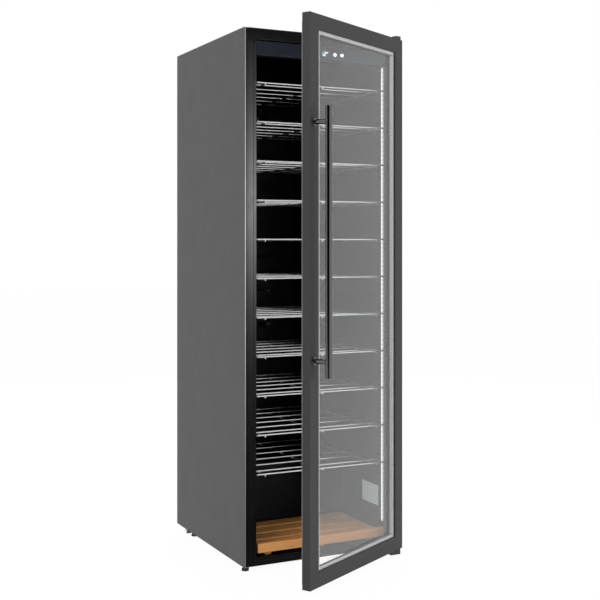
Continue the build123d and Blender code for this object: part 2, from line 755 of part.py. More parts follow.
def mitre(outer, inner):
    """A wedge with both ends at 45 degrees, from an outer edge to an inner edge of the door."""
    face = make_face(Polyline(outer[0], outer[1], inner[1], inner[0], close=True))
    return facing(face, DOOR_FRONT - 1, DOOR_INNER + 1)


def door_stile(side):
    """Upright member of the door frame."""
    place = Plane((side * DOOR_HALF, DOOR_FRONT, DOOR_LOW), x_dir=(-side, 0, 0), z_dir=(0, 0, -side))
    bar = extrude(place * frame_section(), amount=-side * (DOOR_HIGH - DOOR_LOW))
    edge = side * DOOR_HALF
    sight = side * (DOOR_HALF - FRAME_WIDTH)
    ends = ((edge, DOOR_LOW), (edge, DOOR_HIGH))
    return bar & mitre(ends, ((sight, DOOR_LOW + FRAME_WIDTH), (sight, DOOR_HIGH - FRAME_WIDTH)))


def door_rail(edge, inwards):
    """Cross member of the door frame, drilled for the hinge bush."""
    place = Plane((0, DOOR_FRONT, edge), x_dir=(0, 0, inwards), z_dir=(-inwards, 0, 0))
    bar = extrude(place * frame_section(), amount=DOOR_HALF, both=True)
    sight = DOOR_HALF - FRAME_WIDTH
    inner_z = edge + inwards * FRAME_WIDTH
    bar &= mitre(((-DOOR_HALF, edge), (DOOR_HALF, edge)), ((-sight, inner_z), (sight, inner_z)))
    return bar - bush_hole(edge, inwards)


def bush_hole(edge, inwards):
    """Hole for a hinge bush in from the top or bottom edge of the door."""
    start = (PIVOT_X, PIVOT_Y, edge - inwards)
    return faceted_rod(start, (0, 0, inwards), BUSH_LENGTH + 1, BUSH_RADIUS + RUNNING)


def door_corner_keys():
    """Angle keys in the frame's chambers at the four mitres; those on the hinge side hold the bushes."""
    slack = FRAME_WALL + 2 * RUNNING
    far = FRAME_WIDTH - REBATE - slack
    reach = KEY_REACH
    corners = ((slack, slack), (reach, slack), (reach, far), (far, far), (far, reach), (slack, reach))
    angle = make_face(Polyline(*corners, close=True))
    depth = (DOOR_FRONT + slack, DOOR_INNER - slack)
    keys = []
    for side in (-1, 1):
        for edge, inwards in ((DOOR_LOW, 1), (DOOR_HIGH, -1)):
            turn = {(-1, 1): 0, (1, 1): 90, (1, -1): 180, (-1, -1): 270}[side, inwards]
            key = facing(Pos(side * DOOR_HALF, edge) * Rot(0, 0, turn) * angle, *depth)
            keys.append(key - bush_hole(edge, inwards) if side > 0 else key)
    return keys


def hinge_bushes():
    """Plastic bushes for the hinge pins; the lower one stands proud and rests on its bracket."""
    proud = DOOR_LOW - BOTTOM - 2 * RUNNING
    bushes = []
    for start, inwards, length in ((DOOR_LOW - proud, 1, BUSH_LENGTH + proud), (DOOR_HIGH, -1, BUSH_LENGTH)):
        bush = faceted_rod((PIVOT_X, PIVOT_Y, start), (0, 0, inwards), length, BUSH_RADIUS)
        bore = rod((PIVOT_X, PIVOT_Y, start - inwards), (0, 0, inwards), length + 2, PIN_RADIUS + RUNNING)
        bushes.append(bush - bore)
    return bushes


def door_ring(outer, inner, y0, y1):
    """A flat ring in the door between two insets from its edges."""
    big = span(-DOOR_HALF + outer, DOOR_HALF - outer, DOOR_LOW + outer, DOOR_HIGH - outer)
    small = span(-DOOR_HALF + inner, DOOR_HALF - inner, DOOR_LOW + inner, DOOR_HIGH - inner)
    return facing(big - small, y0, y1)


def door_pane(depth):
    """A pane of the double glazing, its front face at a depth behind the door's face."""
    edge = PANE_EDGE
    face = span(-DOOR_HALF + edge, DOOR_HALF - edge, DOOR_LOW + edge, DOOR_HIGH - edge)
    return facing(face, DOOR_FRONT + depth, DOOR_FRONT + depth + PANE)


def glazing_spacer():
    """Aluminium spacer between the panes."""
    front = DOOR_FRONT + FRAME_LIP + PANE
    return door_ring(SPACER_EDGE, SPACER_EDGE + SPACER_WIDTH, front, front + PANE_GAP)


def door_inner_frame():
    """Moulded frame on the inside of the door that holds the glazing in its rebate."""
    glazing = FRAME_LIP + 2 * PANE + PANE_GAP
    edge = FRAME_WIDTH - REBATE + 4 * RUNNING
    bead = door_ring(edge, FRAME_WIDTH + COVER_FLANGE, DOOR_FRONT + glazing, DOOR_INNER)
    return bead + door_ring(COVER_EDGE, FRAME_WIDTH + COVER_FLANGE, DOOR_INNER, DOOR_INNER + COVER_FLANGE)


def door_gasket():
    """Magnetic seal that meets the cabinet's trim when the door is shut."""
    width = GASKET_WIDTH
    x0 = -DOOR_HALF + GASKET_INSETS["handle"]
    x1 = DOOR_HALF - GASKET_INSETS["hinge"]
    z0 = DOOR_LOW + GASKET_INSETS["low"]
    z1 = DOOR_HIGH - GASKET_INSETS["high"]
    ring = span(x0, x1, z0, z1) - span(x0 + width, x1 - width, z0 + width, z1 - width)
    return facing(ring, DOOR_INNER + COVER_FLANGE, FRONT - GASKET_GAP)


def handle_bar():
    """Round upright grip with a flat seat for each post."""
    centre_y = DOOR_FRONT - HANDLE_OFFSET
    bar = rod((HANDLE_X, centre_y, HANDLE_LOW), (0, 0, 1), HANDLE_HIGH - HANDLE_LOW, HANDLE_RADIUS)
    bar = chamfer(bar.edges().filter_by(GeomType.CIRCLE), HANDLE_CHAMFER)
    seat = POST_RADIUS + CLEARANCE
    reach = 2 * HANDLE_RADIUS
    for z in POST_HEIGHTS:
        flat = Pos(HANDLE_X, centre_y + SEAT + reach / 2, z) * Box(2 * reach, reach, 2 * seat)
        bar -= flat
    return bar


def handle_posts():
    """Stand-offs between the door and the grip, each with a base flange."""
    posts = []
    for z in POST_HEIGHTS:
        foot = (HANDLE_X, DOOR_FRONT, z)
        post = rod(foot, (0, -1, 0), HANDLE_OFFSET - SEAT, POST_RADIUS)
        posts.append(post + rod(foot, (0, -1, 0), FLANGE_HEIGHT, FLANGE_RADIUS))
    return posts


def door_parts():
    """Every piece that swings with the door, drawn with the door shut."""
    return {
        "door_stile_handle_side": door_stile(-1),
        "door_stile_hinge_side": door_stile(1),
        "door_top_rail": door_rail(DOOR_HIGH, -1),
        "door_bottom_rail": door_rail(DOOR_LOW, 1),
        "door_corner_keys": door_corner_keys(),
        "outer_glass": door_pane(FRAME_LIP),
        "inner_glass": door_pane(FRAME_LIP + PANE + PANE_GAP),
        "glazing_spacer": glazing_spacer(),
        "door_inner_frame": door_inner_frame(),
        "door_gasket": door_gasket(),
        "handle_bar": handle_bar(),
        "handle_posts": handle_posts(),
        "hinge_bushes": hinge_bushes(),
    }


def cabinet_parts():
    """Every piece of the cabinet and what it carries."""
    parts = {
        "side_panel_left": side_panel(-1),
        "side_panel_right": side_panel(1),
        "top_panel": top_panel(),
        "back_panel": back_panel(),
        "base_pan": base_pan(),
        "foam_insulation": foam_insulation(),
        "inner_liner": inner_liner(),
        "front_frame": front_frame(),
        "control_panel": control_panel(),
        "display_window": display_window(),
        "control_board": control_board(),
        "led_strips": led_strips(),
        "shelf_rails": shelf_rails(),
        "tray_front_rail": tray_front_rail(),
        "tray_deck": tray_deck(),
        "duct_cover": duct_cover(),
        "circulation_fan_rotor": circulation_fan_rotor(),
        "evaporator": evaporator(),
        "compressor": compressor(),
        "compressor_grommets": compressor_grommets(),
        "condenser": condenser(),
        "condenser_fan_housing": condenser_fan_housing(),
        "condenser_fan_rotor": condenser_fan_rotor(),
        "rear_vent_cover": rear_vent_cover(),
        "mains_inlet": mains_inlet(),
        "top_hinge_bracket": top_hinge_bracket(),
        "top_hinge_cover": top_hinge_cover(),
        "bottom_hinge_bracket": bottom_hinge_bracket(),
        "roller_left": roller(-1),
        "roller_right": roller(1),
        "roller_brackets": roller_brackets(),
    }
    for name, (x, y) in foot_places().items():
        parts[name] = levelling_foot(x, y)
    first = wire_shelf(0)
    for k, z in enumerate(shelf_heights(), start=1):
        parts[f"wire_shelf_{k:02d}"] = Pos(0, 0, z) * first
    return parts


def write(name, piece):
    """Save one node, as a group where it holds several solids."""
    if isinstance(piece, list):
        piece = Compound(children=piece)
    export_step(piece, os.path.join("parts", f"{name}.step"))


def main():
    os.makedirs("parts", exist_ok=True)
    swing = Pos(PIVOT_X, PIVOT_Y, 0) * Rot(0, 0, REST_ANGLE) * Pos(-PIVOT_X, -PIVOT_Y, 0)
    for name, piece in cabinet_parts().items():
        write(name, piece)
    for name, piece in door_parts().items():
        write(name, [swing * item for item in piece] if isinstance(piece, list) else swing * piece)


main()
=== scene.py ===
"""Dresses the wine cooler: graphite cabinet, glazed door, chrome shelves, beech tray, side lights."""

import json
from math import pi, radians

import bmesh
import bpy
from mathutils import Matrix, Vector

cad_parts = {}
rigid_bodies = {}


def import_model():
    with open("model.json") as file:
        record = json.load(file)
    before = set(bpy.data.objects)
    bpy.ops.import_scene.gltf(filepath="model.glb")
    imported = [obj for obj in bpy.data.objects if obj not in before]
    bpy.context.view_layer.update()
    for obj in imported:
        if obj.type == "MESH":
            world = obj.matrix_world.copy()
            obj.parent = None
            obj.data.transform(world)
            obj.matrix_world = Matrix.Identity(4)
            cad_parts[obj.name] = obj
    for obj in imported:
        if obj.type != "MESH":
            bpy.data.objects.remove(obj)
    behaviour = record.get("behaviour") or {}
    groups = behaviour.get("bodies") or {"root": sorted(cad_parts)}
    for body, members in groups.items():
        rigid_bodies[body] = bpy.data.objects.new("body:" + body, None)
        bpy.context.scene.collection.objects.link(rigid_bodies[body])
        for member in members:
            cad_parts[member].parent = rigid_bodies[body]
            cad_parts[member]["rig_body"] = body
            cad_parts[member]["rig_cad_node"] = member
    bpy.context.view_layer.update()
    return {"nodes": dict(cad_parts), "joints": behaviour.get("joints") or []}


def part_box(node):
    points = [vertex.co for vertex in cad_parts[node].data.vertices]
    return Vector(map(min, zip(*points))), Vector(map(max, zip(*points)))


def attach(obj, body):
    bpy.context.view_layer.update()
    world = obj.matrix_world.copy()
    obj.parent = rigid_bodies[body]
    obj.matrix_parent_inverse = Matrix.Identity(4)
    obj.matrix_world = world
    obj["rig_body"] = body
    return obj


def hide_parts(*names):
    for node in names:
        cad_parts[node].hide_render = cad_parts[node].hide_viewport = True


# Lengths are in metres.
MM = 0.001
MERGE = 0.01 * MM
SMOOTH_ANGLE = radians(32)
FACING = 0.99

# Camera, level, fitted to the corners of the cabinet and the door
CAMERA_PLACE = (-1.7544, -3.6489, 1.1135)
CAMERA_YAW = radians(26.62)
CAMERA_LENS = 64.72
CAMERA_SENSOR = 36
CAMERA_SHIFT = -0.0954

# Studio: the lamps' names, places and powers
LAMPS = (
    ("key_light", (-3.4, -2.4, 3.0), 85),
    ("fill_light", (2.3, -3.7, 1.3), 60),
    ("back_light", (1.2, 3.6, 2.8), 80),
)
LAMP_SIDE = 2.4
LAMP_AIM = (0, 0, 0.9)
FLAG_SIDE = 10.0
FLAG_PLACE = (-5.6, -2.4, 2.0)
FLOOR_SIDE = 40.0
FLOOR_GLOW = 0.93
FLOOR_WHITE = 1.03
AMBIENT = 0.5

# Pieces that lamps are kept off or confined to
PANES = ("outer_glass_eased", "inner_glass_eased")
HANDLE_PIECES = ("handle_grip", "handle_stand_offs")
SIDE_PIECES = ("side_panel_left_eased",)
TRIM_PIECES = ("front_frame_eased",)

# Wire shelves
SHELF_COUNT = 11
WIRE_RADIUS = 2.9 * MM
WIRE_STEP = 5.5 * MM
FIRST_GAP = 54 * MM
CROSS_WIRES = 7
LONG_WIRE_X = 217 * MM

# Side lights: heights above the wall, and the spacing of the beads of light
CHANNEL_RISE = 5 * MM
CHANNEL_RIM = 1.5 * MM
CHANNEL_GROOVE = 2 * MM
LENS_FOOT = 3.2 * MM
LENS_RISE = 6.5 * MM
BEAD_PITCH = 16.6 * MM

# Display
DIGIT_SIZE = (8.5 * MM, 15 * MM)
DIGIT_BAR = 1.7 * MM
DIGIT_MIDDLES = (-5 * MM, 5.5 * MM)
DIGITS = ("bc", "abged")
DEGREE_X = 14.5 * MM
DEGREE_RADIUS = 2.4 * MM
KEY_PLACES = (45 * MM, 73 * MM)
KEY_RADIUS = 5.5 * MM
MARK_PROUD = 0.3 * MM
MARK_DEPTH = 0.4 * MM

# Blank plate on the right-hand inner wall
PLATE_DEPTH = (-264 * MM, -147 * MM)
PLATE_HEIGHT = (157 * MM, 230 * MM)

# Handle
POST_RADIUS = 8 * MM
POST_BITE = 1 * MM
FLANGE_DEPTH = 4 * MM

# Levelling feet, heights from the floor
PAD_TOP = 8 * MM
STEM_FOOT = 10 * MM
WASHER_TOP = 11 * MM
WASHER_RADIUS = 8 * MM
STEM_RADIUS = 4.3 * MM
THREAD_RADIUS = 4.55 * MM
THREAD_PITCH = 1.5 * MM
THREAD_TURNS = 6

# Breather holes of the glazing spacer, drawn as flat black discs: painted shade where the holes would be
SPACER_WIDTH = 17 * MM
HOLE_LIFT = 0.05 * MM
HOLE_PITCH = 12 * MM
HOLE_RADIUS = 1.1 * MM
HOLE_ROWS = (0.33, 0.67)

# Screws of the back
SCREW_INSET = 14 * MM
SCREW_ROWS = 6
TOP_SCREWS = (-0.1, 0.1)

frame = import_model()
NODES = frame["nodes"]
HINGE = next(joint for joint in frame["joints"] if joint["name"] == "door_hinge")
PIVOT = Vector(HINGE["pos_m"])
REST_ANGLE = radians(-HINGE["range_deg"][0])
SWING = Matrix.Translation(PIVOT) @ Matrix.Rotation(REST_ANGLE, 4, "Z") @ Matrix.Translation(-PIVOT)


# Shader building


class Value:
    """A shader socket that adds Math nodes when it takes part in arithmetic."""

    def __init__(self, shader, socket):
        self.shader = shader
        self.socket = socket

    def output(self, name):
        return Value(self.shader, self.socket.node.outputs[name])

    def __add__(self, other):
        return self.shader.maths("ADD", self, other)

    def __sub__(self, other):
        return self.shader.maths("SUBTRACT", self, other)

    def __rsub__(self, other):
        return self.shader.maths("SUBTRACT", other, self)

    def __mul__(self, other):
        return self.shader.maths("MULTIPLY", self, other)

    def __gt__(self, other):
        return self.shader.maths("GREATER_THAN", self, other)

    def __lt__(self, other):
        return self.shader.maths("LESS_THAN", self, other)

    def __mod__(self, other):
        return self.shader.maths("FLOORED_MODULO", self, other)

    def __abs__(self):
        return self.shader.maths("ABSOLUTE", self)

    __radd__ = __add__
    __rmul__ = __mul__


class Shader:
    """A tree of shader nodes, all added by one method."""

    def __init__(self, tree):
        self.tree = tree

    def feed(self, node, inputs):
        for key, value in inputs.items():
            if isinstance(value, Value):
                self.tree.links.new(value.socket, node.inputs[key])
            elif isinstance(value, tuple) and len(value) == 3 and node.inputs[key].type == "RGBA":
                node.inputs[key].default_value = (*value, 1)
            else:
                node.inputs[key].default_value = value

    def node(self, kind, settings=None, inputs=None, output=0):
        """Add a node: its settings first, then the values or links of its sockets."""
        made = self.tree.nodes.new(kind)
        for key, value in (settings or {}).items():
            if key == "stops":
                self.set_stops(made.color_ramp, value)
            else:
                setattr(made, key, value)
        self.feed(made, inputs or {})
        return Value(self, made.outputs[output])

    def set_stops(self, ramp, stops):
        while len(ramp.elements) < len(stops):
            ramp.elements.new(1)
        for element, (position, colour) in zip(ramp.elements, stops):
            element.position = position
            element.color = (*colour, 1)

    def maths(self, operation, first, second=0.0):
        return self.node("ShaderNodeMath", {"operation": operation}, {0: first, 1: second})

    def mix(self, factor, first, second):
        inputs = {0: factor, 6: first, 7: second}
        return self.node("ShaderNodeMix", {"data_type": "RGBA"}, inputs, output=2)

    def blend(self, factor, first, second):
        """One surface that passes into another."""
        return self.node("ShaderNodeMixShader", inputs={0: factor, 1: first, 2: second})

    def seen_ray(self):
        """1 for rays of the camera, of mirrors and of glass, until they meet a matt surface."""
        ray = self.node("ShaderNodeLightPath")
        seen = ray.output("Is Camera Ray")
        for name in ("Is Glossy Ray", "Is Transmission Ray"):
            seen = self.maths("MAXIMUM", seen, ray.output(name))
        return seen * (ray.output("Diffuse Depth") < 0.5)


class Finish(Shader):
    """One material on a Principled surface, with the record's slot that it belongs to."""

    def __init__(self, name, slot, **surface):
        self.slot = slot
        self.material = bpy.data.materials.new(name)
        self.material.use_nodes = True
        super().__init__(self.material.node_tree)
        self.surface = self.tree.nodes["Principled BSDF"]
        self.body = Value(self, self.surface.outputs[0])
        self.place = self.node("ShaderNodeTexCoord").output("Object")
        self.set(**surface)

    def stretched(self, scale):
        """The piece's own coordinates, stretched by a factor on each axis."""
        return self.node("ShaderNodeMapping", inputs={"Vector": self.place, "Scale": scale})

    def noise(self, scale, detail=2.0, place=None):
        inputs = {"Vector": place or self.place, "Scale": scale, "Detail": detail}
        return self.node("ShaderNodeTexNoise", inputs=inputs)

    def cells(self, scale, place=None):
        inputs = {"Vector": place or self.place, "Scale": scale}
        return self.node("ShaderNodeTexVoronoi", inputs=inputs)

    def set(self, **inputs):
        self.feed(self.surface, {key.replace("_", " "): value for key, value in inputs.items()})
        return self

    def bump(self, height, strength, distance):
        inputs = {"Height": height, "Strength": strength, "Distance": distance}
        return self.set(Normal=self.node("ShaderNodeBump", inputs=inputs))

    def show(self, surface):
        """Put a blend in the place of the plain surface."""
        self.feed(self.tree.nodes["Material Output"], {"Surface": surface})
        return self


# Finishes


def powder_coat(name, slot, colour, roughness, shine=0.5):
    """Baked paint: a fine orange peel, with faint drifts of tone and gloss."""
    finish = Finish(name, slot, Specular_IOR_Level=shine)
    drift = finish.noise(3.0)
    shade = tuple(channel * 0.9 for channel in colour)
    finish.set(Base_Color=finish.mix(drift, shade, colour))
    finish.set(Roughness=roughness - 0.05 + 0.1 * finish.noise(14.0))
    return finish.bump(finish.noise(1400.0), 0.12, 0.2 * MM)


def moulded_plastic(name, slot, colour, roughness, grain=1800.0, shine=0.5):
    """Moulded plastic with a fine spark-eroded grain."""
    finish = Finish(name, slot, Specular_IOR_Level=shine)
    lighter = tuple(channel * 1.25 + 0.001 for channel in colour)
    finish.set(Base_Color=finish.mix(finish.noise(9.0), colour, lighter))
    finish.set(Roughness=roughness - 0.04 + 0.08 * finish.noise(30.0, 4.0))
    return finish.bump(finish.cells(grain), 0.1, 0.1 * MM)


def gloss_panel(name, slot, colour):
    """Polished dark panel with faint smears in its gloss."""
    finish = Finish(name, slot, Specular_IOR_Level=0.22, Coat_Weight=0.05, Coat_Roughness=0.1)
    deeper = tuple(channel * 0.8 for channel in colour)
    finish.set(Base_Color=finish.mix(finish.noise(5.0), deeper, colour))
    return finish.set(Roughness=0.26 + 0.12 * finish.noise(25.0, 5.0))


def bare_metal(name, slot, colour, roughness, stretch=(1.0, 1.0, 1.0), metallic=1.0):
    """Drawn or rolled metal, its gloss broken by fine lines along the stretch."""
    finish = Finish(name, slot, Metallic=metallic)
    lines = finish.noise(900.0, 3.0, finish.stretched(stretch))
    darker = tuple(channel * 0.82 for channel in colour)
    finish.set(Base_Color=finish.mix(lines, darker, colour))
    finish.set(Roughness=roughness * 0.75 + 0.5 * roughness * lines)
    return finish.bump(lines, 0.06, 0.05 * MM)


def galvanised(name, slot):
    """Zinc-coated sheet with its patchwork of crystals."""
    finish = Finish(name, slot, Metallic=1.0)
    tone = finish.cells(70.0).output("Color")
    grey = finish.node("ShaderNodeSeparateColor", inputs={"Color": tone})
    finish.set(Base_Color=finish.mix(grey, (0.42, 0.43, 0.44), (0.62, 0.63, 0.65)))
    finish.set(Roughness=0.32 + 0.2 * grey)
    return finish.bump(finish.noise(300.0), 0.05, 0.1 * MM)


def beech():
    """Oiled beech along X: slow bands, fine pores and short dark rays."""
    finish = Finish("oiled_beech", "beech")
    bands = finish.noise(16.0, 3.0, finish.stretched((0.12, 1.0, 1.0)))
    pores = finish.noise(420.0, 4.0, finish.stretched((0.035, 1.0, 1.0)))
    rays = finish.noise(260.0, 2.0, finish.stretched((0.12, 1.0, 1.0)))
    ray_marks = finish.node(
        "ShaderNodeValToRGB", {"stops": ((0.58, (0, 0, 0)), (0.7, (1, 1, 1)))}, {"Fac": rays}
    )
    wood = finish.mix(bands, (0.6, 0.25, 0.07), (0.84, 0.42, 0.14))
    wood = finish.mix(0.35 * pores, wood, (0.45, 0.18, 0.05))
    wood = finish.mix(0.3 * ray_marks, wood, (0.34, 0.13, 0.045))
    finish.set(Base_Color=wood, Roughness=0.42 + 0.2 * pores)
    return finish.bump(pores + 0.5 * ray_marks, 0.25, 0.15 * MM)


def clear_glass():
    """Float glass that lets the lamps through to what stands behind it."""
    finish = Finish("float_glass", "glass", Roughness=0.0, IOR=1.33, Transmission_Weight=1.0)
    finish.set(Base_Color=finish.mix(finish.noise(2.0), (0.985, 1.0, 0.995), (1.0, 1.0, 1.0)))
    light = finish.node("ShaderNodeLightPath").output("Is Shadow Ray")
    clear = finish.node("ShaderNodeBsdfTransparent")
    return finish.show(finish.blend(light, finish.body, clear))


def lit_lens():
    """Frosted lens with a row of beads of light."""
    finish = Finish("light_lens", "light_white", Roughness=0.35, Emission_Strength=1.0)
    axes = finish.node("ShaderNodeSeparateXYZ", inputs={"Vector": finish.place})
    low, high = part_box("led_strips")
    along = abs(axes.output("Z") % BEAD_PITCH - BEAD_PITCH / 2) * (2 / BEAD_PITCH)
    across = abs(axes.output("Y") - (low.y + high.y) / 2) * (2 / (high.y - low.y))
    dimming = 0.55 * along * along + 0.8 * across * across
    finish.set(Base_Color=(0.35, 0.35, 0.35))
    return finish.set(Emission_Color=finish.mix(dimming, (1.0, 1.0, 1.0), (0.1, 0.105, 0.11)))


def lit_mark(name, colour, strength):
    """A lit mark of the display, a little uneven towards its ends."""
    finish = Finish(name, "light_white", Roughness=0.4, Emission_Strength=strength)
    paler = tuple(min(1.0, channel * 1.15) for channel in colour)
    finish.set(Base_Color=(0.6, 0.6, 0.6))
    return finish.set(Emission_Color=finish.mix(finish.noise(160.0), colour, paler))


def soft_rubber(name, slot, colour):
    """Soft rubber with a dusty bloom."""
    finish = Finish(name, slot, Sheen_Weight=0.15)
    dusty = tuple(channel * 1.3 + 0.004 for channel in colour)
    finish.set(Base_Color=finish.mix(finish.noise(60.0, 5.0), colour, dusty))
    finish.set(Roughness=0.6 + 0.2 * finish.noise(90.0))
    return finish.bump(finish.noise(1100.0, 4.0), 0.15, 0.1 * MM)


def foam():
    """Rigid foam with open bubbles."""
    finish = Finish("rigid_foam", "foam", Roughness=0.95)
    bubbles = finish.cells(260.0)
    finish.set(Base_Color=finish.mix(bubbles, (0.62, 0.5, 0.28), (0.85, 0.76, 0.52)))
    return finish.bump(bubbles, 0.5, 1.0 * MM)


def circuit_board():
    """Green board with a lattice of lighter tracks."""
    finish = Finish("circuit_board", "board_green", Coat_Weight=0.4)
    tracks = finish.node("ShaderNodeTexBrick", inputs={"Vector": finish.stretched((90.0, 90.0, 90.0))})
    finish.set(Base_Color=finish.mix(tracks.output("Fac"), (0.02, 0.13, 0.05), (0.05, 0.24, 0.1)))
    return finish.set(Roughness=0.3 + 0.15 * finish.noise(120.0))


# Stretch of drawn lines that run upright, and of those that run from front to back
UPRIGHT = (1.0, 1.0, 0.05)
INWARD = (1.0, 0.1, 1.0)

GRAPHITE = powder_coat("graphite_paint", "painted_steel_dark", (0.0525, 0.0525, 0.0535), 0.5, 0.42)
DOOR_PAINT = powder_coat("door_paint", "door_aluminium", (0.05, 0.05, 0.051), 0.5, 0.15)
BLACK_STEEL = powder_coat("black_steel", "coated_steel_black", (0.012, 0.012, 0.013), 0.42)
HANDLE_BLACK = bare_metal("handle_black", "black_handle", (0.15, 0.146, 0.144), 0.14, UPRIGHT)
ZINC_SHEET = galvanised("zinc_sheet", "galvanised_steel")
ZINC_SCREW = bare_metal("zinc_screw", "galvanised_steel", (0.6, 0.6, 0.6), 0.3)
CHROME = bare_metal("chrome_wire", "chrome_wire", (0.66, 0.66, 0.67), 0.16)
SPACER_METAL = bare_metal("spacer_aluminium", "bare_aluminium", (0.55, 0.55, 0.56), 0.34, UPRIGHT, 0.85)
FIN_METAL = bare_metal("fin_aluminium", "bare_aluminium", (0.7, 0.71, 0.72), 0.3, INWARD)
LINER_PLASTIC = moulded_plastic("liner_plastic", "liner_black", (0.003, 0.003, 0.0035), 0.5, shine=0.12)
TRIM_PLASTIC = moulded_plastic("trim_plastic", "trim_black", (0.0018, 0.0015, 0.0018), 0.31, shine=0.055)
NYLON = moulded_plastic("black_nylon", "nylon", (0.018, 0.018, 0.018), 0.5)
PANEL_GLOSS = gloss_panel("panel_gloss", "control_black", (0.0078, 0.0098, 0.0203))
WINDOW_SMOKE = gloss_panel("window_smoke", "display_smoke", (0.008, 0.012, 0.04))
BEECH = beech()
GLASS = clear_glass()
LENS = lit_lens()
CHANNEL_WHITE = moulded_plastic("channel_white", "light_white", (0.5, 0.5, 0.5), 0.4)
DIGIT_LIGHT = lit_mark("digit_light", (0.62, 0.8, 1.0), 2.2)
KEY_LIGHT = lit_mark("key_light", (0.92, 0.96, 1.0), 2.0)
GASKET_RUBBER = soft_rubber("gasket_rubber", "gasket_grey", (0.36, 0.36, 0.36))
BLACK_RUBBER = soft_rubber("black_rubber", "rubber_black", (0.012, 0.012, 0.012))
FOAM = foam()
BOARD = circuit_board()
PLATE_PAPER = moulded_plastic("blank_plate", "light_white", (0.68, 0.76, 0.8), 0.45, 700.0)


# Modelling helpers


def choose(piece):
    """Make a piece the only one selected, and the active one."""
    bpy.ops.object.select_all(action="DESELECT")
    piece.hide_set(False)
    piece.select_set(True)
    bpy.context.view_layer.objects.active = piece


def settle(piece):
    """Put a piece's place, turn and size into its mesh."""
    choose(piece)
    bpy.ops.object.transform_apply(location=True, rotation=True, scale=True)
    return piece


def block(name, low, high):
    """A box between two corners."""
    bpy.ops.object.select_all(action="DESELECT")
    low = Vector(low)
    high = Vector(high)
    bpy.ops.mesh.primitive_cube_add(size=1, location=(low + high) / 2)
    piece = bpy.context.active_object
    piece.name = name
    piece.scale = high - low
    return settle(piece)


def rod(name, start, end, radius, sides=32):
    """A round bar between two points."""
    bpy.ops.object.select_all(action="DESELECT")
    start = Vector(start)
    run = Vector(end) - start
    turn = run.to_track_quat("Z", "Y").to_euler()
    bpy.ops.mesh.primitive_cylinder_add(
        vertices=sides, radius=radius, depth=run.length, location=start + run / 2, rotation=turn
    )
    piece = bpy.context.active_object
    piece.name = name
    return settle(piece)


def edit(piece, kind, test):
    """Go into edit mode with the faces or edges that pass the test selected."""
    choose(piece)
    bpy.ops.object.mode_set(mode="EDIT")
    bpy.ops.mesh.select_mode(type={"faces": "FACE", "edges": "EDGE"}[kind])
    bpy.ops.mesh.select_all(action="DESELECT")
    mesh = bmesh.from_edit_mesh(piece.data)
    for part in getattr(mesh, kind):
        if test(part):
            part.select_set(True)
    bmesh.update_edit_mesh(piece.data)


def leave():
    bpy.ops.object.mode_set(mode="OBJECT")


def faces_towards(direction):
    """A test for faces that look along a direction."""
    axis = Vector(direction).normalized()
    return lambda face: face.normal.dot(axis) > FACING


def everything(part):
    return True


def modify(piece, kind, **settings):
    """Add a modifier with its settings and apply it."""
    choose(piece)
    modifier = piece.modifiers.new(kind.title(), kind)
    for key, value in settings.items():
        setattr(modifier, key, value)
    bpy.ops.object.modifier_apply(modifier=modifier.name)


def smooth(piece):
    """Smooth curved stretches and keep flat faces flat."""
    choose(piece)
    bpy.ops.object.shade_smooth_by_angle(angle=SMOOTH_ANGLE)
    modify(piece, "WEIGHTED_NORMAL", keep_sharp=True)


def round_edges(piece, width, segments=3):
    """Round off every sharp edge."""
    modify(
        piece, "BEVEL", width=width, segments=segments, limit_method="ANGLE", angle_limit=SMOOTH_ANGLE
    )


def joined(pieces, name):
    """Several pieces as one."""
    choose(pieces[0])
    for piece in pieces:
        piece.select_set(True)
    bpy.ops.object.join()
    pieces[0].name = name
    return pieces[0]


def copied(piece, name, move):
    """A copy with its own mesh, moved from the first."""
    twin = piece.copy()
    twin.data = piece.data.copy()
    twin.name = name
    bpy.context.scene.collection.objects.link(twin)
    twin.data.transform(Matrix.Translation(move))
    return twin


def swung(piece):
    """Turn a piece that was drawn on the shut door to where the door stands."""
    piece.data.transform(SWING)
    return piece


def fit(piece, body, finish, *nodes):
    """Give a piece its finish and its body, and let it stand for CAD pieces."""
    piece.data.materials.clear()
    piece.data.materials.append(finish.material)
    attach(piece, body)
    if nodes:
        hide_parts(*nodes)
    return piece


def shut_box(node):
    """Lowest and highest corner of a door piece as if the door were shut."""
    back = SWING.inverted()
    corners = [back @ vertex.co for vertex in NODES[node].data.vertices]
    low = Vector([min(corner[axis] for corner in corners) for axis in range(3)])
    high = Vector([max(corner[axis] for corner in corners) for axis in range(3)])
    return low, high


def eased(node, finish, width=0.0, segments=2):
    """A copy of a CAD piece with smooth curves and rounded edges, which stands for it."""
    source = NODES[node]
    piece = copied(source, f"{node}_eased", (0, 0, 0))
    del piece["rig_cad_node"]
    edit(piece, "faces", everything)
    bpy.ops.mesh.customdata_custom_splitnormals_clear()
    bpy.ops.mesh.remove_doubles(threshold=MERGE)
    bpy.ops.mesh.dissolve_limited(angle_limit=radians(1))
    leave()
    if width:
        round_edges(piece, width, segments)
    smooth(piece)
    return fit(piece, source["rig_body"], finish, node)


def painted(finish, *nodes):
    """CAD pieces whose shape is right get only their finish."""
    for node in nodes:
        NODES[node].data.materials.clear()
        NODES[node].data.materials.append(finish.material)


# Pieces


def wire(name, start, end):
    piece = rod(name, start, end, WIRE_RADIUS, 20)
    round_edges(piece, 1.2 * MM)
    return piece


def weld(place):
    """A small bead where two wires meet."""
    bpy.ops.object.select_all(action="DESELECT")
    bpy.ops.mesh.primitive_ico_sphere_add(subdivisions=2, radius=3.4 * MM, location=place)
    bead = bpy.context.active_object
    bead.scale = (1, 1, 0.55)
    return settle(bead)


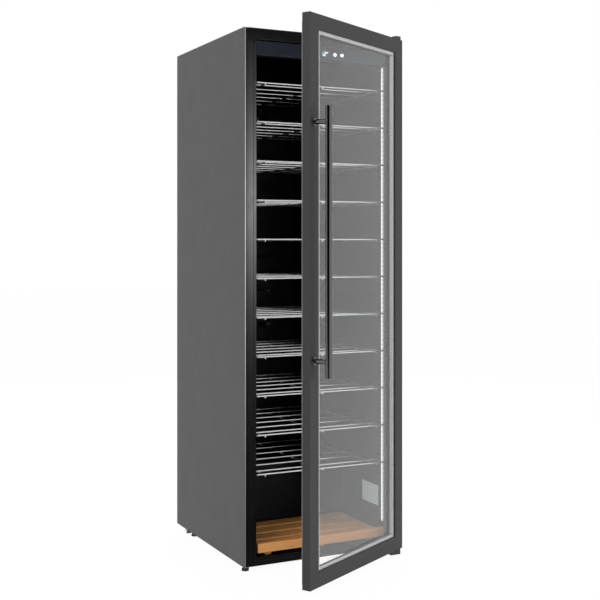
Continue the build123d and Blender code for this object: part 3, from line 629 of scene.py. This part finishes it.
def wire_shelves():
    """Chrome shelves: seven cross wires welded on three long wires."""
    low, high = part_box("wire_shelf_01")
    half_wire = WIRE_STEP / 2
    top = high.z - half_wire
    under = top - WIRE_STEP
    front = low.y + half_wire
    back = high.y - half_wire
    step = (back - front - FIRST_GAP) / (CROSS_WIRES - 2)
    depths = [front] + [front + FIRST_GAP + step * k for k in range(CROSS_WIRES - 1)]
    sides = (-LONG_WIRE_X, 0, LONG_WIRE_X)
    wires = [wire("long_wire", (x, low.y, under), (x, high.y, under)) for x in sides]
    wires += [wire("cross_wire", (low.x, y, top), (high.x, y, top)) for y in depths]
    wires += [weld((x, y, top - half_wire)) for x in sides for y in depths]
    first = joined(wires, "chrome_shelf_01")
    smooth(first)
    fit(first, "cabinet", CHROME, "wire_shelf_01")
    for k in range(2, SHELF_COUNT + 1):
        node = f"wire_shelf_{k:02d}"
        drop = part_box(node)[1].z - high.z
        fit(copied(first, f"chrome_shelf_{k:02d}", (0, 0, drop)), "cabinet", CHROME, node)


def side_lights():
    """A white channel with a frosted lens up each side wall."""
    low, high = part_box("led_strips")
    gap = CHANNEL_RIM + 0.1 * MM
    for side, word in ((-1, "left"), (1, "right")):
        wall = low.x if side < 0 else high.x
        xs = sorted((wall, wall - side * CHANNEL_RISE))
        channel = block(f"light_channel_{word}", (xs[0], low.y, low.z), (xs[1], high.y, high.z))
        edit(channel, "faces", faces_towards((-side, 0, 0)))
        bpy.ops.mesh.inset(thickness=CHANNEL_RIM)
        bpy.ops.mesh.extrude_region_shrink_fatten(TRANSFORM_OT_shrink_fatten={"value": -CHANNEL_GROOVE})
        leave()
        round_edges(channel, 0.4 * MM)
        smooth(channel)
        fit(channel, "cabinet", CHANNEL_WHITE, "led_strips")
        face = wall - side * LENS_RISE
        xs = sorted((wall - side * LENS_FOOT, face))
        bottom = (xs[0], low.y + gap, low.z + gap)
        top = (xs[1], high.y - gap, high.z - gap)
        lens = block(f"light_lens_{word}", bottom, top)
        edit(lens, "edges", lambda edge: all(abs(v.co.x - face) < MERGE for v in edge.verts))
        bpy.ops.mesh.bevel(offset=1.4 * MM, segments=4)
        leave()
        smooth(lens)
        fit(lens, "cabinet", LENS)


def segment_bar(x0, x1, z0, z1, y):
    """One bar of a digit, its ends cut to points."""
    bar = block("digit_bar", (x0, y, z0), (x1, y + MARK_DEPTH, z1))
    edit(bar, "edges", lambda edge: abs(edge.verts[0].co.y - edge.verts[1].co.y) > MERGE)
    bpy.ops.mesh.bevel(offset=0.55 * MM, segments=1)
    leave()
    return bar


def digit(strokes, middle, height, y):
    """A seven-bar digit about a middle point."""
    half_width = DIGIT_SIZE[0] / 2
    half_height = DIGIT_SIZE[1] / 2
    half_bar = DIGIT_BAR / 2
    bars = []
    for stroke in strokes:
        if stroke in "agd":
            z = height + {"a": 1, "g": 0, "d": -1}[stroke] * (half_height - half_bar)
            reach = half_width - DIGIT_BAR
            bars.append(segment_bar(middle - reach, middle + reach, z - half_bar, z + half_bar, y))
        else:
            x = middle + (1 if stroke in "bc" else -1) * (half_width - half_bar)
            z = height + (1 if stroke in "bf" else -1) * half_height / 2
            reach = half_height / 2 - DIGIT_BAR * 0.7
            bars.append(segment_bar(x - half_bar, x + half_bar, z - reach, z + reach, y))
    return bars


def degree_ring(x, top, y):
    """A small ring level with the digits' tops."""
    z = top - DEGREE_RADIUS
    ring = rod("degree_ring", (x, y, z), (x, y + MARK_DEPTH, z), DEGREE_RADIUS, 24)
    edit(ring, "faces", lambda face: abs(face.normal.y) > FACING)
    bpy.ops.mesh.inset(thickness=1.2 * MM)
    bpy.ops.mesh.bridge_edge_loops()
    leave()
    return ring


def display():
    """Two lit digits and two lit round keys behind the smoked window."""
    low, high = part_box("display_window")
    height = (low.z + high.z) / 2
    y = low.y - MARK_PROUD
    bars = []
    for strokes, middle in zip(DIGITS, DIGIT_MIDDLES):
        bars += digit(strokes, middle, height, y)
    bars.append(degree_ring(DEGREE_X, height + DIGIT_SIZE[1] / 2, y))
    marks = joined(bars, "display_digits")
    smooth(marks)
    fit(marks, "cabinet", DIGIT_LIGHT)
    keys = []
    for x in KEY_PLACES:
        key = rod("touch_key", (x, y, height), (x, y + MARK_DEPTH, height), KEY_RADIUS, 40)
        edit(key, "faces", faces_towards((0, -1, 0)))
        bpy.ops.mesh.inset(thickness=1.0 * MM, depth=0.15 * MM)
        leave()
        keys.append(key)
    keys = joined(keys, "touch_keys")
    smooth(keys)
    fit(keys, "cabinet", KEY_LIGHT)


def blank_plate():
    """Bare pale plate on the right-hand inner wall."""
    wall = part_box("led_strips")[1].x
    low = (wall - 0.6 * MM, PLATE_DEPTH[0], PLATE_HEIGHT[0])
    high = (wall + 0.1 * MM, PLATE_DEPTH[1], PLATE_HEIGHT[1])
    plate = block("blank_plate", low, high)
    edit(plate, "edges", lambda edge: abs(edge.verts[0].co.x - edge.verts[1].co.x) > MERGE)
    bpy.ops.mesh.bevel(offset=4 * MM, segments=5)
    leave()
    round_edges(plate, 0.2 * MM, 2)
    smooth(plate)
    fit(plate, "cabinet", PLATE_PAPER)


def handle():
    """Round black grip on two stand-offs with base flanges."""
    low, high = shut_box("handle_bar")
    radius = (high.x - low.x) / 2
    x = (low.x + high.x) / 2
    y = (low.y + high.y) / 2
    grip = rod("handle_grip", (x, y, low.z), (x, y, high.z), radius, 64)
    round_edges(grip, 1.6 * MM, 4)
    smooth(grip)
    fit(swung(grip), "door", HANDLE_BLACK, "handle_bar")
    low, high = shut_box("handle_posts")
    flange = (high.x - low.x) / 2
    posts = []
    for z in (low.z + flange, high.z - flange):
        post = rod("handle_post", (x, high.y, z), (x, low.y - POST_BITE, z), POST_RADIUS, 48)
        disc = rod("handle_flange", (x, high.y, z), (x, high.y - FLANGE_DEPTH, z), flange, 48)
        round_edges(disc, 1.2 * MM, 4)
        posts += [post, disc]
    posts = joined(posts, "handle_stand_offs")
    smooth(posts)
    fit(swung(posts), "door", HANDLE_BLACK, "handle_posts")


def sealing_ring(name, low, high, steps):
    """A moulded ring round the door, grown from its outer edge by inset steps of width and height."""
    bpy.ops.object.select_all(action="DESELECT")
    middle = Vector(((low.x + high.x) / 2, low.y, (low.z + high.z) / 2))
    bpy.ops.mesh.primitive_plane_add(size=1, location=middle, rotation=(-pi / 2, 0, 0))
    ring = bpy.context.active_object
    ring.name = name
    ring.scale = (high.x - low.x, high.z - low.z, 1)
    settle(ring)
    edit(ring, "faces", everything)
    for thickness, depth in steps:
        bpy.ops.mesh.inset(thickness=thickness, depth=depth)
    bpy.ops.mesh.delete(type="FACE")
    bpy.ops.mesh.select_mode(type="EDGE")
    bpy.ops.mesh.select_all(action="DESELECT")
    bpy.ops.mesh.select_non_manifold()
    bpy.ops.mesh.bridge_edge_loops()
    bpy.ops.mesh.select_all(action="SELECT")
    bpy.ops.mesh.normals_make_consistent(inside=False)
    leave()
    return ring


def door_gasket():
    """Pale bellows seal with a flat magnet face."""
    low, high = shut_box("door_gasket")
    rise = high.y - low.y
    steps = (
        (0.5 * MM, 0.45 * rise),
        (0.9 * MM, 0.25 * rise),
        (0.9 * MM, -0.2 * rise),
        (0.6 * MM, 0.3 * rise),
        (0.9 * MM, 0.2 * rise),
        (4.4 * MM, 0.0),
        (0.9 * MM, -0.2 * rise),
        (0.6 * MM, -0.3 * rise),
        (0.9 * MM, 0.2 * rise),
        (0.9 * MM, -0.25 * rise),
        (0.5 * MM, -0.45 * rise),
    )
    gasket = sealing_ring("door_seal", low, high, steps)
    round_edges(gasket, 0.25 * MM, 2)
    smooth(gasket)
    fit(swung(gasket), "door", GASKET_RUBBER, "door_gasket")


def levelling_foot(node):
    """Six-sided pad, washer face and threaded stem."""
    low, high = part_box(node)
    x = (low.x + high.x) / 2
    y = (low.y + high.y) / 2
    pad_top = (x, y, low.z + PAD_TOP)
    pad = rod("foot_pad", (x, y, low.z), pad_top, (high.x - low.x) / 2, 6)
    centre = Matrix.Translation((x, y, 0))
    pad.data.transform(centre @ Matrix.Rotation(radians(30), 4, "Z") @ centre.inverted())
    round_edges(pad, 1.5 * MM)
    washer = rod("foot_washer", pad_top, (x, y, low.z + WASHER_TOP), WASHER_RADIUS)
    round_edges(washer, 0.6 * MM)
    stem = rod("foot_stem", (x, y, low.z + STEM_FOOT), (x, y, high.z), STEM_RADIUS)
    foot = joined([pad, washer, stem, thread(x, y, low.z + WASHER_TOP)], f"{node}_screw_foot")
    smooth(foot)
    fit(foot, NODES[node]["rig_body"], BLACK_RUBBER, node)


def thread(x, y, z):
    """Some turns of a screw thread round a foot's stem."""
    bpy.ops.object.select_all(action="DESELECT")
    bpy.ops.mesh.primitive_plane_add(size=1, location=(THREAD_RADIUS, 0, 0), rotation=(pi / 2, 0, 0))
    tooth = bpy.context.active_object
    tooth.scale = (0.8 * MM, 0.9 * MM, 1)
    settle(tooth)
    modify(
        tooth, "SCREW", axis="Z", steps=24, render_steps=24, screw_offset=THREAD_PITCH,
        iterations=THREAD_TURNS, use_merge_vertices=False,
    )
    edit(tooth, "faces", everything)
    bpy.ops.mesh.normals_make_consistent(inside=False)
    leave()
    tooth.data.transform(Matrix.Translation((x, y, z + THREAD_PITCH / 2)))
    return tooth


def transport_roller(node):
    """Nylon roller with dished ends."""
    low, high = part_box(node)
    y = (low.y + high.y) / 2
    z = (low.z + high.z) / 2
    radius = (high.z - low.z) / 2
    wheel = rod(f"{node}_wheel", (low.x, y, z), (high.x, y, z), radius, 48)
    edit(wheel, "faces", lambda face: abs(face.normal.x) > FACING)
    bpy.ops.mesh.inset(thickness=2.5 * MM)
    bpy.ops.mesh.extrude_region_shrink_fatten(TRANSFORM_OT_shrink_fatten={"value": -1.5 * MM})
    leave()
    round_edges(wheel, 0.5 * MM)
    smooth(wheel)
    fit(wheel, NODES[node]["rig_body"], NYLON, node)


def glazing_spacer():
    """Bright spacer between the panes, a hair's breadth clear of both."""
    spacer = eased("glazing_spacer", SPACER_METAL, 0.3 * MM)
    low, high = shut_box("glazing_spacer")
    middle = Vector((0, (low.y + high.y) / 2, 0))
    slim = Matrix.Translation(middle) @ Matrix.Diagonal((1, 0.97, 1, 1)) @ Matrix.Translation(-middle)
    spacer.data.transform(SWING @ slim @ SWING.inverted())


def spacer_holes():
    """Two rows of flat black discs along the inner faces of the glazing spacer: painted shade that
    stands in for breather holes.
    """
    low, high = shut_box("glazing_spacer")
    inset = SPACER_WIDTH + HOLE_LIFT
    corner = 2 * SPACER_WIDTH
    height = high.z - low.z - 2 * corner
    width = high.x - low.x - 2 * corner
    rows = [low.y + (high.y - low.y) * share for share in HOLE_ROWS]
    marks = []
    for side, x in ((-1, low.x + inset), (1, high.x - inset)):
        turn = (0, side * pi / 2, 0)
        marks += [hole_shade_row((x, y, low.z + corner), turn, (0, 0, HOLE_PITCH), height) for y in rows]
    for turn, z in (((0, 0, 0), low.z + inset), ((pi, 0, 0), high.z - inset)):
        marks += [hole_shade_row((low.x + corner, y, z), turn, (HOLE_PITCH, 0, 0), width) for y in rows]
    painted_hole_shade = joined(marks, "spacer_holes")
    # The discs take the black liner plastic as painted shade inside the holes.
    fit(swung(painted_hole_shade), "door", LINER_PLASTIC)


def hole_shade_row(place, turn, step, length):
    """A row of small round marks, the painted shade of holes."""
    bpy.ops.object.select_all(action="DESELECT")
    bpy.ops.mesh.primitive_circle_add(
        vertices=8, radius=HOLE_RADIUS, fill_type="NGON", location=place, rotation=turn
    )
    row = settle(bpy.context.active_object)
    count = int(length / Vector(step).length)
    modify(
        row, "ARRAY", count=count, use_relative_offset=False, use_constant_offset=True,
        constant_offset_displace=step,
    )
    return row


def cross_screw():
    """A pan-head screw with a cross recess, about the origin and looking along -Y."""
    head = rod("cross_screw", (0, 0, 0), (0, -2.4 * MM, 0), 4.2 * MM, 32)
    edit(head, "edges", lambda edge: all(v.co.y < -2 * MM for v in edge.verts))
    bpy.ops.mesh.bevel(offset=1.3 * MM, segments=4)
    leave()
    for turn in (0, pi / 2):
        slot = block("screw_slot", (-2.4 * MM, -4 * MM, -0.5 * MM), (2.4 * MM, -1.2 * MM, 0.5 * MM))
        slot.data.transform(Matrix.Rotation(turn, 4, "Y"))
        modify(head, "BOOLEAN", object=slot, operation="DIFFERENCE", solver="EXACT")
        bpy.data.objects.remove(slot)
    smooth(head)
    return head


def back_screws():
    """Screws round the back panel and along the vent cover."""
    low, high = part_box("back_panel")
    vent_low, vent_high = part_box("rear_vent_cover")
    xs = (low.x + SCREW_INSET, high.x - SCREW_INSET)
    first = low.z + SCREW_INSET
    last = high.z - SCREW_INSET
    rise = (last - first) / (SCREW_ROWS - 1)
    places = [(x, high.y, first + rise * k) for x in xs for k in range(SCREW_ROWS)]
    places += [(x, high.y, last) for x in TOP_SCREWS]
    vent_heights = (vent_low.z + SCREW_INSET, vent_high.z - SCREW_INSET)
    places += [(x, vent_high.y, z) for x in xs for z in vent_heights]
    pattern = cross_screw()
    pattern.data.transform(Matrix.Rotation(pi, 4, "Z"))
    screws = [copied(pattern, "back_screw", place) for place in places]
    bpy.data.objects.remove(pattern)
    fit(joined(screws, "back_screws"), "cabinet", ZINC_SCREW)


def cabinet():
    for node in ("side_panel_left", "side_panel_right", "top_panel"):
        eased(node, GRAPHITE)
    eased("back_panel", GRAPHITE, 0.2 * MM)
    eased("base_pan", ZINC_SHEET)
    eased("rear_vent_cover", BLACK_STEEL, 0.2 * MM)
    eased("inner_liner", LINER_PLASTIC)
    eased("front_frame", TRIM_PLASTIC, 0.7 * MM)
    eased("shelf_rails", LINER_PLASTIC, 0.8 * MM)
    eased("duct_cover", LINER_PLASTIC, 0.6 * MM)
    eased("control_panel", PANEL_GLOSS, 0.9 * MM)
    eased("display_window", WINDOW_SMOKE, 0.3 * MM)
    eased("tray_front_rail", BEECH, 0.8 * MM)
    eased("tray_deck", BEECH, 1.5 * MM)
    eased("mains_inlet", NYLON, 0.3 * MM)
    eased("top_hinge_bracket", BLACK_STEEL, 0.5 * MM)
    eased("bottom_hinge_bracket", BLACK_STEEL, 0.5 * MM)
    eased("top_hinge_cover", NYLON, 1.2 * MM, 4)
    eased("roller_brackets", ZINC_SHEET, 0.3 * MM)


def machinery():
    eased("compressor", BLACK_STEEL, 4 * MM, 3)
    eased("circulation_fan_rotor", NYLON, 0.3 * MM)
    eased("condenser_fan_rotor", NYLON, 0.3 * MM)
    eased("condenser_fan_housing", NYLON, 0.5 * MM)
    painted(FIN_METAL, "condenser", "evaporator")
    painted(BLACK_RUBBER, "compressor_grommets")
    painted(FOAM, "foam_insulation")
    painted(BOARD, "control_board")


def door():
    for node in ("door_stile_handle_side", "door_stile_hinge_side", "door_top_rail", "door_bottom_rail"):
        eased(node, DOOR_PAINT, 0.5 * MM)
    eased("outer_glass", GLASS, 0.4 * MM)
    eased("inner_glass", GLASS, 0.4 * MM)
    glazing_spacer()
    eased("door_inner_frame", NYLON, 0.8 * MM)
    painted(FIN_METAL, "door_corner_keys")
    painted(NYLON, "hinge_bushes")


# Studio


def studio_floor():
    """Pale floor that reads white to the camera, keeps a soft shadow and is clear from below."""
    bpy.ops.object.select_all(action="DESELECT")
    bpy.ops.mesh.primitive_plane_add(size=FLOOR_SIDE)
    floor = bpy.context.active_object
    floor.name = "studio_floor"
    finish = Finish("studio_floor", None, Base_Color=(0.85, 0.85, 0.85), Roughness=0.9)
    white = finish.node("ShaderNodeEmission", inputs={"Strength": FLOOR_WHITE})
    lit = finish.blend(finish.seen_ray() * FLOOR_GLOW, finish.body, white)
    below = finish.node("ShaderNodeNewGeometry").output("Backfacing")
    finish.show(finish.blend(below, lit, finish.node("ShaderNodeBsdfTransparent")))
    finish.material.cycles.emission_sampling = "NONE"
    floor.data.materials.append(finish.material)


def studio_world():
    """White surroundings for the camera, mirrors and glass, and a softer light on matt surfaces."""
    world = bpy.data.worlds.new("studio")
    world.use_nodes = True
    sky = Shader(world.node_tree)
    level = sky.node("ShaderNodeMapRange", inputs={"Value": sky.seen_ray(), "To Min": AMBIENT})
    sky.feed(sky.tree.nodes["Background"], {"Color": (1, 1, 1), "Strength": level})
    bpy.context.scene.world = world


def studio_flag():
    """Black cloth to the left of the camera, seen in mirrors only, for a dark core in rounded gloss."""
    bpy.ops.object.select_all(action="DESELECT")
    turn = (pi / 2, 0, -CAMERA_YAW)
    bpy.ops.mesh.primitive_plane_add(size=FLAG_SIDE, location=FLAG_PLACE, rotation=turn)
    flag = settle(bpy.context.active_object)
    flag.name = "studio_flag"
    black = (0.002, 0.002, 0.002)
    cloth = Finish("studio_flag", None, Base_Color=black, Roughness=1.0, Specular_IOR_Level=0.0)
    flag.data.materials.append(cloth.material)
    flag.visible_camera = False
    flag.visible_diffuse = False
    flag.visible_transmission = False
    flag.visible_shadow = False


def softbox(name, place, target, size, power):
    """A square lamp aimed at a point."""
    lamp = bpy.data.lights.new(name, "AREA")
    lamp.size = size
    lamp.energy = power
    box = bpy.data.objects.new(name, lamp)
    bpy.context.scene.collection.objects.link(box)
    box.location = place
    box.rotation_euler = (Vector(target) - Vector(place)).to_track_quat("-Z", "Y").to_euler()
    box.visible_camera = False
    box.visible_transmission = False
    return box


def linked(box, use, state, pieces):
    """Name the pieces that a lamp lights or spares, or those that let it pass."""
    named = bpy.data.collections.new(f"{box.name}_{use}")
    for piece in pieces:
        named.objects.link(bpy.data.objects[piece])
    setattr(box.light_linking, f"{use}_collection", named)
    for item in named.collection_objects:
        item.light_linking.link_state = state


def gleam(name, place, size, power, pieces):
    """A lamp that is seen only as a gleam on some pieces, also through the panes of the door."""
    box = softbox(name, place, (0, 0, place[2]), size, power)
    box.visible_diffuse = False
    linked(box, "receiver", "INCLUDE", pieces)
    linked(box, "blocker", "EXCLUDE", PANES)


def studio_lamps():
    """Three lamps whose images are kept off the panes and the handle, and two gleams."""
    for name, place, power in LAMPS:
        box = softbox(name, place, LAMP_AIM, LAMP_SIDE, power)
        linked(box, "receiver", "EXCLUDE", PANES + HANDLE_PIECES)
    gleam("edge_gleam", (0.05, -3.5, 1.2), 0.6, 900, SIDE_PIECES)
    gleam("trim_gleam", (1.3, -3.45, 1.4), 0.6, 240, TRIM_PIECES)


def camera():
    data = bpy.data.cameras.new("camera")
    data.lens = CAMERA_LENS
    data.sensor_width = CAMERA_SENSOR
    data.shift_y = CAMERA_SHIFT
    view = bpy.data.objects.new("camera", data)
    bpy.context.scene.collection.objects.link(view)
    view.location = CAMERA_PLACE
    view.rotation_euler = (pi / 2, 0, -CAMERA_YAW)
    bpy.context.scene.camera = view


def main():
    cabinet()
    machinery()
    door()
    wire_shelves()
    side_lights()
    display()
    blank_plate()
    handle()
    door_gasket()
    spacer_holes()
    back_screws()
    for node in ("foot_front_left", "foot_front_right", "foot_rear_left", "foot_rear_right"):
        levelling_foot(node)
    for node in ("roller_left", "roller_right"):
        transport_roller(node)
    studio_floor()
    studio_flag()
    studio_world()
    studio_lamps()
    camera()
    bpy.context.scene.view_settings.view_transform = "Standard"


main()
